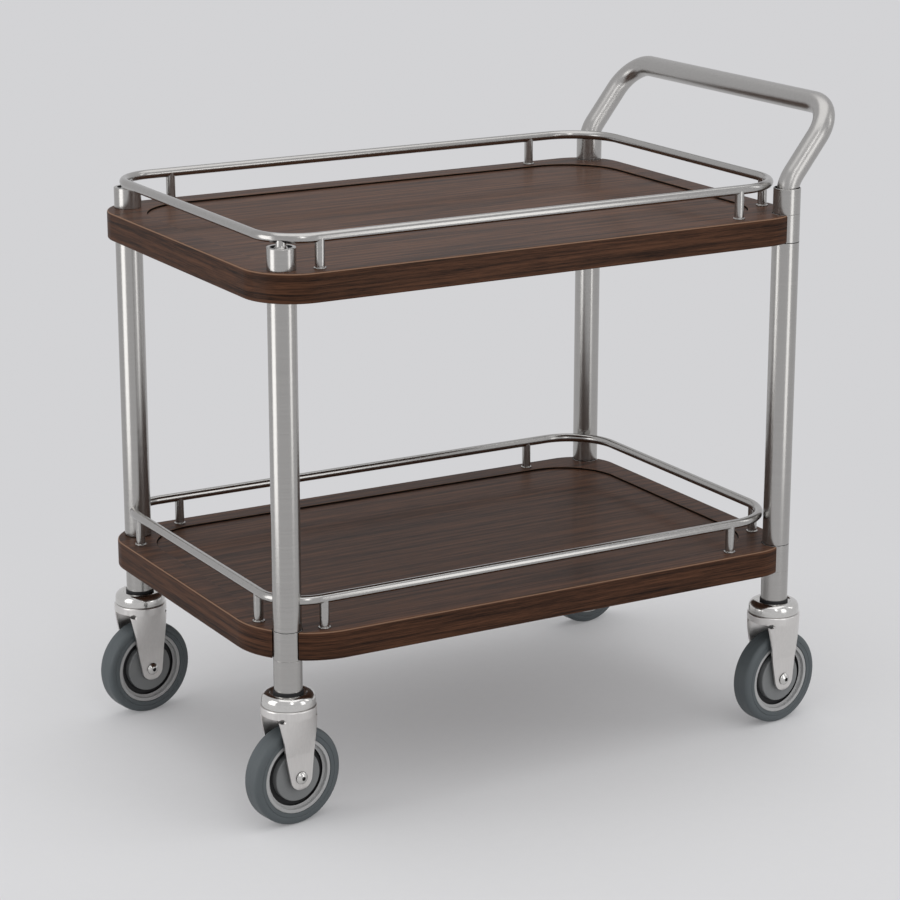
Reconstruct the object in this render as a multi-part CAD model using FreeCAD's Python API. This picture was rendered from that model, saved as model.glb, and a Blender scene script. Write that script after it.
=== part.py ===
import FreeCAD
import Part
import math
import os

# Two-tier trolley: four tube legs, two wooden trays with guard rails, a bent tube
# handle at the +X end and four swivel casters.  Millimetres, +Z up, floor at z = 0.
# It is built about the middle of the trays.  At the end it is moved along X, so that the
# origin lies on the floor at half its overall length.

# ---- trays -------------------------------------------------------------------------
TRAY_LENGTH = 770.0
TRAY_WIDTH = 512.0
TRAY_THICKNESS = 36.0
TRAY_SPACING = 440.0
TRAY_EDGE_ROUND = 2.5
WRAPPED_CORNER_RADIUS = 65.0
LOWER_FREE_CORNER_RADIUS = 100.0
HANDLE_CORNER_RADIUS = 62.0
BORDER_WIDTH = 35.0
PANEL_CORNER_RADIUS = 80.0
PANEL_THICKNESS = 10.0
PANEL_RECESS = 2.5
PANEL_GAP = 0.3
BORDER_CHAMFER = 0.8

# ---- legs --------------------------------------------------------------------------
LEG_DIAMETER = 35.0
FOOT_TUBE_LENGTH = 40.0
TUBE_WALL = 1.5
FREE_END_LEG_INSET = 36.0
HANDLE_END_LEG_INSET = 23.0
PLUG_LENGTH = 14.0
ROD_DIAMETER = 10.0
ROD_CLEARANCE = 0.2
PLUG_CLEARANCE = 0.05
NOTCH_CLEARANCE = 0.3
ROD_ENGAGEMENT = 15.0
DOWEL_DIAMETER = 8.0
DOWEL_CLEARANCE = 0.05
DOWEL_LENGTH_IN_BOARD = 30.0
DOWEL_WEB = 3.0

# ---- collars above the upper tray ---------------------------------------------------
FREE_COLLAR_HEIGHT = 27.0
FREE_COLLAR_RECESS_DIAMETER = 26.0
FREE_COLLAR_RECESS_DEPTH = 2.5
COLLAR_CHAMFER = 1.2
NECK_DIAMETER = 12.0
HANDLE_COLLAR_HEIGHT = 33.0
HANDLE_COLLAR_WALL = 1.2

# ---- guard rails and their posts ----------------------------------------------------
RAIL_DIAMETER = 12.0
RAIL_INSET = 20.0
RAIL_HEIGHT = 37.0
RAIL_LEG_CLEARANCE = 1.2
WELD_GAP = 0.05
POST_DIAMETER = 12.0
POST_FOOT_DIAMETER = 15.0
POST_FOOT_HEIGHT = 1.5
FRONT_POSTS_FROM_ENDS = (78.0, 99.0)
BACK_POSTS_FROM_ENDS = (104.0, 121.0)
HANDLE_END_POST_FROM_FRONT = 80.0
FREE_END_POSTS_FROM_SIDES = 81.0
SCREW_DIAMETER = 5.0
SCREW_HEAD_DIAMETER = 9.0
SCREW_HEAD_HEIGHT = 3.5
SCREW_BORE_CLEARANCE = 0.1
COUNTERBORE_CLEARANCE = 0.5
COUNTERBORE_DEPTH = 8.0
SCREW_ENGAGEMENT = 12.0
SCREW_SOCKET_SIZE = 4.0
SCREW_SOCKET_DEPTH = 2.0
TAPPED_RUN_OUT = 1.0

# ---- handle ------------------------------------------------------------------------
HANDLE_DIAMETER = 28.0
HANDLE_REACH = 72.0
HANDLE_ELBOW_RISE = 38.0
HANDLE_SLOPE = 52.0
HANDLE_FOOT_BEND = 45.0
HANDLE_GRIP_BEND = 45.0
HANDLE_PLUG_FLANGE = 6.0
HANDLE_PLUG_SPIGOT = 14.0

# ---- casters -----------------------------------------------------------------------
CASTER_HEIGHT = 172.0
CASTER_TRAIL = 4.0
CASTER_YAW = 8.0
WHEEL_DIAMETER = 125.0
WHEEL_WIDTH = 28.0
TYRE_SHOULDER = 6.0
RIM_DIAMETER = 95.0
RIM_THICKNESS = 4.5
RIM_EDGE_SETBACK = 1.0
RIM_STEP_WIDTH = 4.0
RIM_STEP_DEPTH = 5.0
WEB_THICKNESS = 8.0
HUB_DIAMETER = 20.0
CAP_DIAMETER = 64.0
CAP_WALL = 2.0
CAP_SETBACK = 1.5
BOND_GAP = 0.05
SLEEVE_DIAMETER = 12.4
RUNNING_FIT = 0.05
SIDE_GAP = 0.3
AXLE_DIAMETER = 8.0
BOLT_HEAD_DIAMETER = 16.0
BOLT_HEAD_HEIGHT = 5.0
BOLT_HEAD_BAND = 1.25
BOLT_DOME_OUT = 0.62
BOLT_DOME_DROP = 0.9
BOLT_TIP = 1.0
BOLT_SOCKET_SIZE = 5.0
BOLT_SOCKET_DEPTH = 2.5
NUT_SIZE = 13.0
NUT_HEIGHT = 7.0
FORK_SHEET = 2.5
FORK_CROWN_DIAMETER = 69.0
FORK_CROWN_ROUND = 2.0
FORK_SKIRT = 10.0
FORK_ARM_GAP = 3.5
FORK_BEND_DROP = 52.0
FORK_ARM_SAG = 0.01
FORK_END_RADIUS = 15.5
FORK_RELIEF_DIAMETER = 6.0
FORK_RELIEF_DROP = 1.5
FORK_BLANK_MARGIN = 1.0
DOME_DIAMETER = 66.0
DOME_HEIGHT = 18.0
DOME_RIM = 3.0
DOME_LIP_DIAMETER = 48.0
DOME_LIP_DROP = 2.5
DOME_ARC_OUT = 0.78
DOME_ARC_UP = 0.62
SEAL_DIAMETER = 37.0
SEAL_SEAT_DIAMETER = 42.0
SEAL_HEIGHT = 4.5
SEAL_BORE = 24.0
SWIVEL_GAP = 0.3
KINGPIN_DIAMETER = 12.0
KINGPIN_FIT = 0.1
KINGPIN_HEAD_DIAMETER = 22.0
KINGPIN_HEAD_HEIGHT = 5.0
KINGPIN_HEAD_BAND = 2.5
STEM_DIAMETER = 12.0
STEM_LENGTH = 18.0
ROD_STEM_GAP = 2.0
RACE_OUTER = 52.0
RACE_INNER = 36.0
RACE_HEIGHT = 3.0
RACE_SIDE_GAP = 1.0

# ---- values worked out from the ones above ------------------------------------------
HALF_LENGTH = TRAY_LENGTH / 2
HALF_WIDTH = TRAY_WIDTH / 2
LEG_RADIUS = LEG_DIAMETER / 2
LEG_BORE = LEG_RADIUS - TUBE_WALL
DIAGONAL = math.sqrt(0.5)
SAME_HEIGHT = 1e-4
FREE_END_X = -HALF_LENGTH + FREE_END_LEG_INSET
HANDLE_END_X = HALF_LENGTH - HANDLE_END_LEG_INSET
FREE_END_Y = HALF_WIDTH - FREE_END_LEG_INSET
HANDLE_END_Y = HALF_WIDTH - HANDLE_END_LEG_INSET
LOWER_TRAY_BOTTOM = CASTER_HEIGHT + FOOT_TUBE_LENGTH
LOWER_TRAY_TOP = LOWER_TRAY_BOTTOM + TRAY_THICKNESS
UPPER_TRAY_TOP = LOWER_TRAY_TOP + TRAY_SPACING
UPPER_TRAY_BOTTOM = UPPER_TRAY_TOP - TRAY_THICKNESS
RAIL_RADIUS = RAIL_DIAMETER / 2
HANDLE_RADIUS = HANDLE_DIAMETER / 2
STEM_TOP = CASTER_HEIGHT + STEM_LENGTH
ROD_BOTTOM = STEM_TOP + ROD_STEM_GAP
DOME_BOTTOM = CASTER_HEIGHT - DOME_HEIGHT
FORK_TOP = DOME_BOTTOM - SWIVEL_GAP
AXLE_HEIGHT = WHEEL_DIAMETER / 2
ARM_INSIDE = WHEEL_WIDTH / 2 + FORK_ARM_GAP
ARM_OUTSIDE = ARM_INSIDE + FORK_SHEET

LEGS = {
    "front_left": (FREE_END_X, -FREE_END_Y),
    "back_left": (FREE_END_X, FREE_END_Y),
    "back_right": (HANDLE_END_X, HANDLE_END_Y),
    "front_right": (HANDLE_END_X, -HANDLE_END_Y),
}
FREE_END_LEGS = ("front_left", "back_left")
HANDLE_END_LEGS = ("back_right", "front_right")
UPPER_NOTCHES = HANDLE_END_LEGS
LOWER_NOTCHES = ("front_left", "back_right", "front_right")
UP = FreeCAD.Vector(0, 0, 1)
BACK = FreeCAD.Vector(0, 1, 0)
RIGHT = FreeCAD.Vector(1, 0, 0)


# ---- small building blocks -----------------------------------------------------------
def vector(x, y, z):
    return FreeCAD.Vector(x, y, z)


def bar(radius, x, y, bottom, top):
    """Upright round bar between two heights."""
    return Part.makeCylinder(radius, top - bottom, vector(x, y, bottom), UP)


def pipe(outer, inner, x, y, bottom, top):
    """Upright tube between two heights."""
    return bar(outer, x, y, bottom, top).cut(bar(inner, x, y, bottom, top))


def route(start, steps):
    """Wire from lines (a point) and arcs (a pair: a point on the arc and its end)."""
    edges = []
    here = vector(*start)
    for step in steps:
        if isinstance(step[0], tuple):
            through = vector(*step[0])
            end = vector(*step[1])
            edges.append(Part.Arc(here, through, end).toShape())
        else:
            end = vector(*step)
            edges.append(Part.makeLine(here, end))
        here = end
    return Part.Wire(edges)


def turned(start, steps, axis_point, axis):
    """Solid of revolution from a closed profile."""
    face = Part.Face(route(start, steps + [start]))
    return face.revolve(axis_point, axis, 360.0)


def rounded_outline(left, right, front, back, radii, height):
    """Closed wire of a rectangle; its corner radii come in the order of LEGS."""
    front_left, back_left, back_right, front_right = radii
    short = 1 - DIAGONAL

    def bend(x, y, sign_x, sign_y, radius):
        return (x + sign_x * short * radius, y + sign_y * short * radius, height)

    start = (left + front_left, front, height)
    steps = [
        (right - front_right, front, height),
        (bend(right, front, -1, 1, front_right), (right, front + front_right, height)),
        (right, back - back_right, height),
        (bend(right, back, -1, -1, back_right), (right - back_right, back, height)),
        (left + back_left, back, height),
        (bend(left, back, 1, -1, back_left), (left, back - back_left, height)),
        (left, front + front_left, height),
        (bend(left, front, 1, 1, front_left), start),
    ]
    return route(start, steps)


def outline(inset, radii, height):
    """The tray's outline drawn in by an inset."""
    return rounded_outline(-HALF_LENGTH + inset, HALF_LENGTH - inset,
                           -HALF_WIDTH + inset, HALF_WIDTH - inset, radii, height)


def plate(inset, radii, bottom, top):
    """Plate with the tray's outline drawn in by an inset."""
    return Part.Face(outline(inset, radii, bottom)).extrude(UP * (top - bottom))


def edges_at(shape, height):
    """Outer edges that lie flat at one height."""
    found = []
    for edge in shape.Edges:
        box = edge.BoundBox
        if abs(box.ZMin - height) < SAME_HEIGHT and abs(box.ZMax - height) < SAME_HEIGHT:
            found.append(edge)
    return found


def hexagon(size, bottom, top):
    """Hexagonal bar about the Z axis, given across its flats."""
    radius = size / math.sqrt(3)
    corners = []
    for turn in range(7):
        angle = math.radians(60 * turn)
        corners.append(vector(radius * math.cos(angle), radius * math.sin(angle), bottom))
    return Part.Face(Part.makePolygon(corners)).extrude(UP * (top - bottom))


def group(shapes):
    """Separate solids kept together in one node."""
    return Part.makeCompound(shapes)


def inward(name):
    """Unit direction from a leg towards the middle of its tray."""
    x, y = LEGS[name]
    return vector(-math.copysign(DIAGONAL, x), -math.copysign(DIAGONAL, y), 0)


def dowel(name, tray_top, clearance):
    """Dowel across a corner notch, from inside the sleeve into the board."""
    x, y = LEGS[name]
    start = ROD_DIAMETER / 2 + DOWEL_WEB - clearance
    end = LEG_RADIUS + DOWEL_LENGTH_IN_BOARD + clearance
    base = vector(x, y, tray_top - TRAY_THICKNESS / 2) + inward(name) * start
    return Part.makeCylinder(DOWEL_DIAMETER / 2 + clearance, end - start, base, inward(name))


# ---- trays ---------------------------------------------------------------------------
def post_places(with_free_end):
    """Positions of the guard rail posts of one tray."""
    places = []
    for side, from_ends in ((-1, FRONT_POSTS_FROM_ENDS), (1, BACK_POSTS_FROM_ENDS)):
        y = side * (HALF_WIDTH - RAIL_INSET)
        places.append((-HALF_LENGTH + from_ends[0], y))
        places.append((HALF_LENGTH - from_ends[1], y))
    places.append((HALF_LENGTH - RAIL_INSET, -HALF_WIDTH + HANDLE_END_POST_FROM_FRONT))
    if with_free_end:
        for side in (-1, 1):
            y = side * (HALF_WIDTH - FREE_END_POSTS_FROM_SIDES)
            places.append((-HALF_LENGTH + RAIL_INSET, y))
    return places


def tray_board(tray_top, notched, radii, places):
    """Tray with a raised border, a pocket for the panel and openings for the legs."""
    bottom = tray_top - TRAY_THICKNESS
    board = plate(0, radii, bottom, tray_top)
    rim = edges_at(board, tray_top) + edges_at(board, bottom)
    board = board.makeFillet(TRAY_EDGE_ROUND, rim)
    floor = tray_top - PANEL_RECESS - PANEL_THICKNESS
    pocket_radii = [PANEL_CORNER_RADIUS] * 4
    pocket = plate(BORDER_WIDTH, pocket_radii, floor, tray_top)
    mouth_radii = [PANEL_CORNER_RADIUS + BORDER_CHAMFER] * 4
    low = outline(BORDER_WIDTH, pocket_radii, tray_top - BORDER_CHAMFER)
    high = outline(BORDER_WIDTH - BORDER_CHAMFER, mouth_radii, tray_top)
    mouth = Part.makeLoft([low, high], True, True)
    board = board.cut(pocket).cut(mouth)
    for name, (x, y) in LEGS.items():
        if name in notched:
            board = board.cut(bar(LEG_RADIUS + NOTCH_CLEARANCE, x, y, bottom, tray_top))
            board = board.cut(dowel(name, tray_top, DOWEL_CLEARANCE))
        else:
            board = board.cut(bar(ROD_DIAMETER / 2 + ROD_CLEARANCE, x, y, bottom, tray_top))
    head = SCREW_HEAD_DIAMETER / 2 + COUNTERBORE_CLEARANCE
    shank = SCREW_DIAMETER / 2 + SCREW_BORE_CLEARANCE
    for x, y in places:
        board = board.cut(bar(head, x, y, bottom, bottom + COUNTERBORE_DEPTH))
        board = board.cut(bar(shank, x, y, bottom, tray_top))
    return board


def tray_panel(tray_top):
    """Inset panel lying in the pocket of the board."""
    top = tray_top - PANEL_RECESS
    radii = [PANEL_CORNER_RADIUS - PANEL_GAP] * 4
    return plate(BORDER_WIDTH + PANEL_GAP, radii, top - PANEL_THICKNESS, top)


# ---- legs ----------------------------------------------------------------------------
def leg_tube(name):
    x, y = LEGS[name]
    return pipe(LEG_RADIUS, LEG_BORE, x, y, LOWER_TRAY_TOP, UPPER_TRAY_BOTTOM)


def foot_tube(name):
    x, y = LEGS[name]
    return pipe(LEG_RADIUS, LEG_BORE, x, y, CASTER_HEIGHT, LOWER_TRAY_BOTTOM)


def sleeve(name, tray_top):
    """Piece of leg that fills the tray's notch, with the rod's bore and the dowel's hole."""
    x, y = LEGS[name]
    bottom = tray_top - TRAY_THICKNESS
    body = pipe(LEG_RADIUS, ROD_DIAMETER / 2 + ROD_CLEARANCE, x, y, bottom, tray_top)
    return body.cut(dowel(name, tray_top, DOWEL_CLEARANCE))


def end_plugs():
    """Plugs in both ends of every long leg tube, bored for the tie rod."""
    outer = LEG_BORE - PLUG_CLEARANCE
    inner = ROD_DIAMETER / 2 + ROD_CLEARANCE
    plugs = []
    for x, y in LEGS.values():
        plugs.append(pipe(outer, inner, x, y, LOWER_TRAY_TOP, LOWER_TRAY_TOP + PLUG_LENGTH))
        plugs.append(pipe(outer, inner, x, y, UPPER_TRAY_BOTTOM - PLUG_LENGTH, UPPER_TRAY_BOTTOM))
    return group(plugs)


def foot_sockets():
    """Sockets in the foot tubes: the caster's stem from below, the tie rod from above."""
    sockets = []
    for x, y in LEGS.values():
        outer = LEG_BORE - PLUG_CLEARANCE
        body = bar(outer, x, y, CASTER_HEIGHT, LOWER_TRAY_BOTTOM)
        stem = bar(STEM_DIAMETER / 2 + PLUG_CLEARANCE, x, y, CASTER_HEIGHT, STEM_TOP)
        rod = bar(ROD_DIAMETER / 2 + PLUG_CLEARANCE, x, y, STEM_TOP, LOWER_TRAY_BOTTOM)
        sockets.append(body.cut(stem).cut(rod))
    return group(sockets)


def tie_rods():
    """Rods that clamp feet, trays, legs and collars together."""
    rods = []
    for x, y in LEGS.values():
        top = UPPER_TRAY_TOP + ROD_ENGAGEMENT
        rods.append(bar(ROD_DIAMETER / 2, x, y, ROD_BOTTOM, top))
    return group(rods)


# ---- guard rails ---------------------------------------------------------------------
def rail_corner_radii():
    """Over the free end legs the bend meets the leg's axis; at the handle it clears the leg."""
    bulge = 1 - DIAGONAL
    free_end = (FREE_END_LEG_INSET - RAIL_INSET) / bulge
    reach = (LEG_RADIUS + RAIL_RADIUS + RAIL_LEG_CLEARANCE) * DIAGONAL
    handle_end = (HANDLE_END_LEG_INSET + reach - RAIL_INSET) / bulge
    return [free_end, free_end, handle_end, handle_end]


def rail_loop(tray_top, radius):
    """Closed loop of round rod above a tray."""
    height = tray_top + RAIL_HEIGHT
    wire = outline(RAIL_INSET, rail_corner_radii(), height)
    start = wire.Vertexes[0].Point
    section = Part.Wire(Part.makeCircle(radius, start, RIGHT))
    return wire.makePipeShell([section], True, False)


def lower_rails():
    """The lower loop, cut where it meets the free end legs: a long and a short piece."""
    loop = rail_loop(LOWER_TRAY_TOP, RAIL_RADIUS)
    for name in FREE_END_LEGS:
        x, y = LEGS[name]
        loop = loop.cut(bar(LEG_RADIUS + WELD_GAP, x, y, LOWER_TRAY_TOP, UPPER_TRAY_BOTTOM))
    pieces = sorted(loop.Solids, key=lambda solid: solid.Volume)
    return pieces[-1], pieces[0]


def posts(tray_top, places):
    """Posts with a small foot, coped to the rail and tapped for the screw below."""
    made = []
    cutter = rail_loop(tray_top, RAIL_RADIUS + WELD_GAP)
    thread_top = tray_top + SCREW_ENGAGEMENT + TAPPED_RUN_OUT
    for x, y in places:
        stem = bar(POST_DIAMETER / 2, x, y, tray_top, tray_top + RAIL_HEIGHT)
        foot = bar(POST_FOOT_DIAMETER / 2, x, y, tray_top, tray_top + POST_FOOT_HEIGHT)
        thread = bar(SCREW_DIAMETER / 2 + WELD_GAP, x, y, tray_top, thread_top)
        made.append(stem.fuse(foot).cut(thread).cut(cutter).Solids[0])
    return group(made)


def post_screws(tray_top, places):
    """Screws from below the tray into the posts."""
    seat = tray_top - TRAY_THICKNESS + COUNTERBORE_DEPTH
    made = []
    for x, y in places:
        low = seat - SCREW_HEAD_HEIGHT
        head = bar(SCREW_HEAD_DIAMETER / 2, 0, 0, low, seat)
        shank = bar(SCREW_DIAMETER / 2, 0, 0, seat, tray_top + SCREW_ENGAGEMENT)
        socket = hexagon(SCREW_SOCKET_SIZE, low, low + SCREW_SOCKET_DEPTH)
        screw = head.fuse(shank).cut(socket)
        screw.translate(vector(x, y, 0))
        made.append(screw)
    return group(made)


# ---- collars and handle --------------------------------------------------------------
def chamfered_bar(x, y, bottom, top):
    body = bar(LEG_RADIUS, x, y, bottom, top)
    return body.makeChamfer(COLLAR_CHAMFER, edges_at(body, top))


def free_end_collars():
    """Capped collars that stand on the tray above the free end legs."""
    made = []
    top = UPPER_TRAY_TOP + FREE_COLLAR_HEIGHT
    for name in FREE_END_LEGS:
        x, y = LEGS[name]
        body = chamfered_bar(x, y, UPPER_TRAY_TOP, top)
        recess = bar(FREE_COLLAR_RECESS_DIAMETER / 2, x, y, top - FREE_COLLAR_RECESS_DEPTH, top)
        bore = bar(ROD_DIAMETER / 2 + PLUG_CLEARANCE, x, y, UPPER_TRAY_TOP,
                   UPPER_TRAY_TOP + ROD_ENGAGEMENT + TAPPED_RUN_OUT)
        made.append(body.cut(recess).cut(bore))
    return group(made)


def rail_necks():
    """Pins that join the free end collars to the rail above them."""
    made = []
    cutter = rail_loop(UPPER_TRAY_TOP, RAIL_RADIUS + WELD_GAP)
    bottom = UPPER_TRAY_TOP + FREE_COLLAR_HEIGHT - FREE_COLLAR_RECESS_DEPTH
    for name in FREE_END_LEGS:
        x, y = LEGS[name]
        neck = bar(NECK_DIAMETER / 2, x, y, bottom, UPPER_TRAY_TOP + RAIL_HEIGHT)
        made.append(neck.cut(cutter).Solids[0])
    return group(made)


def handle_collars():
    """Open collars that hold the feet of the handle."""
    made = []
    top = UPPER_TRAY_TOP + HANDLE_COLLAR_HEIGHT
    for name in HANDLE_END_LEGS:
        x, y = LEGS[name]
        body = chamfered_bar(x, y, UPPER_TRAY_TOP, top)
        made.append(body.cut(bar(LEG_RADIUS - HANDLE_COLLAR_WALL, x, y, UPPER_TRAY_TOP, top)))
    return group(made)


def handle_plugs():
    """Flanged plugs: the flange fills the collar, the spigot fills the handle tube."""
    made = []
    flange_top = UPPER_TRAY_TOP + HANDLE_PLUG_FLANGE
    for name in HANDLE_END_LEGS:
        x, y = LEGS[name]
        flange = bar(LEG_RADIUS - HANDLE_COLLAR_WALL - PLUG_CLEARANCE, x, y, UPPER_TRAY_TOP, flange_top)
        spigot = bar(HANDLE_RADIUS - TUBE_WALL - PLUG_CLEARANCE, x, y, flange_top,
                     flange_top + HANDLE_PLUG_SPIGOT)
        bore = bar(ROD_DIAMETER / 2 + PLUG_CLEARANCE, x, y, UPPER_TRAY_TOP,
                   UPPER_TRAY_TOP + ROD_ENGAGEMENT + TAPPED_RUN_OUT)
        made.append(flange.fuse(spigot).cut(bore))
    return group(made)


def rounded_path(points, radii):
    """Wire through corner points, each inner corner rounded by an arc."""
    steps = []
    for index in range(1, len(points) - 1):
        corner = points[index]
        toward_last = (points[index - 1] - corner).normalize()
        toward_next = (points[index + 1] - corner).normalize()
        half = toward_last.getAngle(toward_next) / 2
        radius = radii[index - 1]
        tangent = radius / math.tan(half)
        middle = (toward_last + toward_next).normalize()
        through = corner + middle * (radius / math.sin(half) - radius)
        steps.append(tuple(corner + toward_last * tangent))
        steps.append((tuple(through), tuple(corner + toward_next * tangent)))
    steps.append(tuple(points[-1]))
    return route(tuple(points[0]), steps)


def handle():
    """Bent tube: up out of the collars, out over the end and across as the grip."""
    foot = UPPER_TRAY_TOP + HANDLE_PLUG_FLANGE
    elbow = UPPER_TRAY_TOP + HANDLE_ELBOW_RISE
    grip_x = HANDLE_END_X + HANDLE_REACH
    grip_z = elbow + HANDLE_REACH * math.tan(math.radians(HANDLE_SLOPE))
    points = [
        vector(HANDLE_END_X, -HANDLE_END_Y, foot),
        vector(HANDLE_END_X, -HANDLE_END_Y, elbow),
        vector(grip_x, -HANDLE_END_Y, grip_z),
        vector(grip_x, HANDLE_END_Y, grip_z),
        vector(HANDLE_END_X, HANDLE_END_Y, elbow),
        vector(HANDLE_END_X, HANDLE_END_Y, foot),
    ]
    radii = [HANDLE_FOOT_BEND, HANDLE_GRIP_BEND, HANDLE_GRIP_BEND, HANDLE_FOOT_BEND]
    path = rounded_path(points, radii)
    outer = Part.Wire(Part.makeCircle(HANDLE_RADIUS, points[0], UP))
    inner = Part.Wire(Part.makeCircle(HANDLE_RADIUS - TUBE_WALL, points[0], UP))
    return path.makePipeShell([outer], True, False).cut(path.makePipeShell([inner], True, False))


# ---- caster, built about its swivel axis with the wheel rolling along X ----------------
def caster_head():
    """Dome with the stem above it and the kingpin below, all one forging."""
    rim = DOME_DIAMETER / 2
    lip = DOME_LIP_DIAMETER / 2
    lip_top = CASTER_HEIGHT - DOME_LIP_DROP
    seat = SEAL_SEAT_DIAMETER / 2
    seat_floor = CASTER_HEIGHT - SEAL_HEIGHT
    stem = STEM_DIAMETER / 2
    pin = KINGPIN_DIAMETER / 2
    pin_head = KINGPIN_HEAD_DIAMETER / 2
    race_out = RACE_OUTER / 2 + RACE_SIDE_GAP
    race_in = RACE_INNER / 2 - RACE_SIDE_GAP
    race_top = DOME_BOTTOM + SWIVEL_GAP + RACE_HEIGHT
    head_top = FORK_TOP - FORK_SHEET - SWIVEL_GAP
    head_bottom = head_top - KINGPIN_HEAD_HEIGHT
    shoulder = DOME_BOTTOM + DOME_RIM
    round_x = lip + (rim - lip) * DOME_ARC_OUT
    round_z = shoulder + (lip_top - shoulder) * DOME_ARC_UP
    steps = [
        (stem, 0, seat_floor),
        (seat, 0, seat_floor),
        (seat, 0, lip_top),
        (lip, 0, lip_top),
        ((round_x, 0, round_z), (rim, 0, shoulder)),
        (rim, 0, DOME_BOTTOM),
        (race_out, 0, DOME_BOTTOM),
        (race_out, 0, race_top),
        (race_in, 0, race_top),
        (race_in, 0, DOME_BOTTOM),
        (pin, 0, DOME_BOTTOM),
        (pin, 0, head_top),
        (pin_head, 0, head_top),
        (pin_head, 0, head_top - KINGPIN_HEAD_BAND),
        (pin, 0, head_bottom),
        (0, 0, head_bottom),
        (0, 0, STEM_TOP),
    ]
    return turned((stem, 0, STEM_TOP), steps, vector(0, 0, 0), UP)


def seal_ring():
    """Rubber ring between the foot tube and the dome."""
    return pipe(SEAL_DIAMETER / 2, SEAL_BORE / 2, 0, 0, CASTER_HEIGHT - SEAL_HEIGHT, CASTER_HEIGHT)


def swivel_race():
    """Bearing race in the groove of the dome, just clear of the fork."""
    bottom = DOME_BOTTOM + SWIVEL_GAP
    return pipe(RACE_OUTER / 2, RACE_INNER / 2, 0, 0, bottom, bottom + RACE_HEIGHT)


def arm_silhouette(half_width, top, depth_start, depth_end):
    """Side view of a fork arm: a taper that ends in a round about the axle."""
    centre = vector(CASTER_TRAIL, depth_start, AXLE_HEIGHT)
    corners = [vector(-half_width, depth_start, top), vector(half_width, depth_start, top)]
    for side in (1, -1):
        corner = vector(side * half_width, depth_start, top)
        span = corner - centre
        lean = math.atan2(span.z, span.x)
        swing = math.acos(FORK_END_RADIUS / span.Length)
        angle = lean - side * swing
        reach = vector(math.cos(angle), 0, math.sin(angle)) * FORK_END_RADIUS
        corners.append(centre + reach)
    corners.append(corners[0])
    depth = BACK * (depth_end - depth_start)
    taper = Part.Face(Part.makePolygon(corners)).extrude(depth)
    end = Part.makeCylinder(FORK_END_RADIUS, depth.Length, centre, depth)
    return taper.fuse(end)


def arm_section(radius, half_width, outside, height):
    """Slice of an arm: a strip of sheet bowed about the swivel axis, chord at outside."""
    sag = radius - math.sqrt(radius ** 2 - half_width ** 2)
    inner_sag = sag * (radius - FORK_SHEET) / radius
    inside = outside - FORK_SHEET
    start = (-half_width, -outside, height)
    steps = [
        ((0, -outside - sag, height), (half_width, -outside, height)),
        (half_width, -inside, height),
        ((0, -inside - inner_sag, height), (-half_width, -inside, height)),
        start,
    ]
    return route(start, steps)


def fork_arm():
    """Pressed arm: bowed like the crown at the top, flat beside the wheel."""
    crown = FORK_CROWN_DIAMETER / 2
    half_width = math.sqrt(crown ** 2 - ARM_OUTSIDE ** 2)
    skirt_bottom = FORK_TOP - FORK_SKIRT
    bend_height = skirt_bottom - FORK_BEND_DROP
    nearly_flat = half_width ** 2 / (2 * FORK_ARM_SAG)
    bowed = arm_section(crown, half_width, ARM_OUTSIDE, skirt_bottom)
    flat = arm_section(nearly_flat, half_width, ARM_OUTSIDE, bend_height)
    blank_bottom = AXLE_HEIGHT - FORK_END_RADIUS - FORK_BLANK_MARGIN
    low = arm_section(nearly_flat, half_width, ARM_OUTSIDE, blank_bottom)
    blank = Part.makeLoft([bowed, flat, low], True, True)
    silhouette = arm_silhouette(half_width, skirt_bottom, -ARM_INSIDE + FORK_BLANK_MARGIN,
                                -crown - FORK_BLANK_MARGIN)
    return blank.common(silhouette)


def fork():
    """Crown with a skirt, two tapered arms, the kingpin's hole and the axle's holes."""
    crown = FORK_CROWN_DIAMETER / 2
    skirt_bottom = FORK_TOP - FORK_SKIRT
    cup = bar(crown, 0, 0, skirt_bottom, FORK_TOP)
    cup = cup.makeFillet(FORK_CROWN_ROUND, edges_at(cup, FORK_TOP))
    cup = cup.cut(bar(crown - FORK_SHEET, 0, 0, skirt_bottom, FORK_TOP - FORK_SHEET))
    front_arm = fork_arm()
    back_arm = front_arm.mirror(vector(0, 0, 0), BACK)
    body = cup.fuse([front_arm, back_arm]).removeSplitter()
    body = body.cut(bar(KINGPIN_DIAMETER / 2 + KINGPIN_FIT, 0, 0, FORK_TOP - FORK_SHEET, FORK_TOP))
    start = vector(CASTER_TRAIL, -crown, AXLE_HEIGHT)
    body = body.cut(Part.makeCylinder(AXLE_DIAMETER / 2 + RUNNING_FIT, 2 * crown, start, BACK))
    relief_x = math.sqrt(crown ** 2 - ARM_OUTSIDE ** 2) - FORK_RELIEF_DIAMETER / 2
    for side in (-1, 1):
        start = vector(side * relief_x, -crown, skirt_bottom - FORK_RELIEF_DROP)
        body = body.cut(Part.makeCylinder(FORK_RELIEF_DIAMETER / 2, 2 * crown, start, BACK))
    return body


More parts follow.
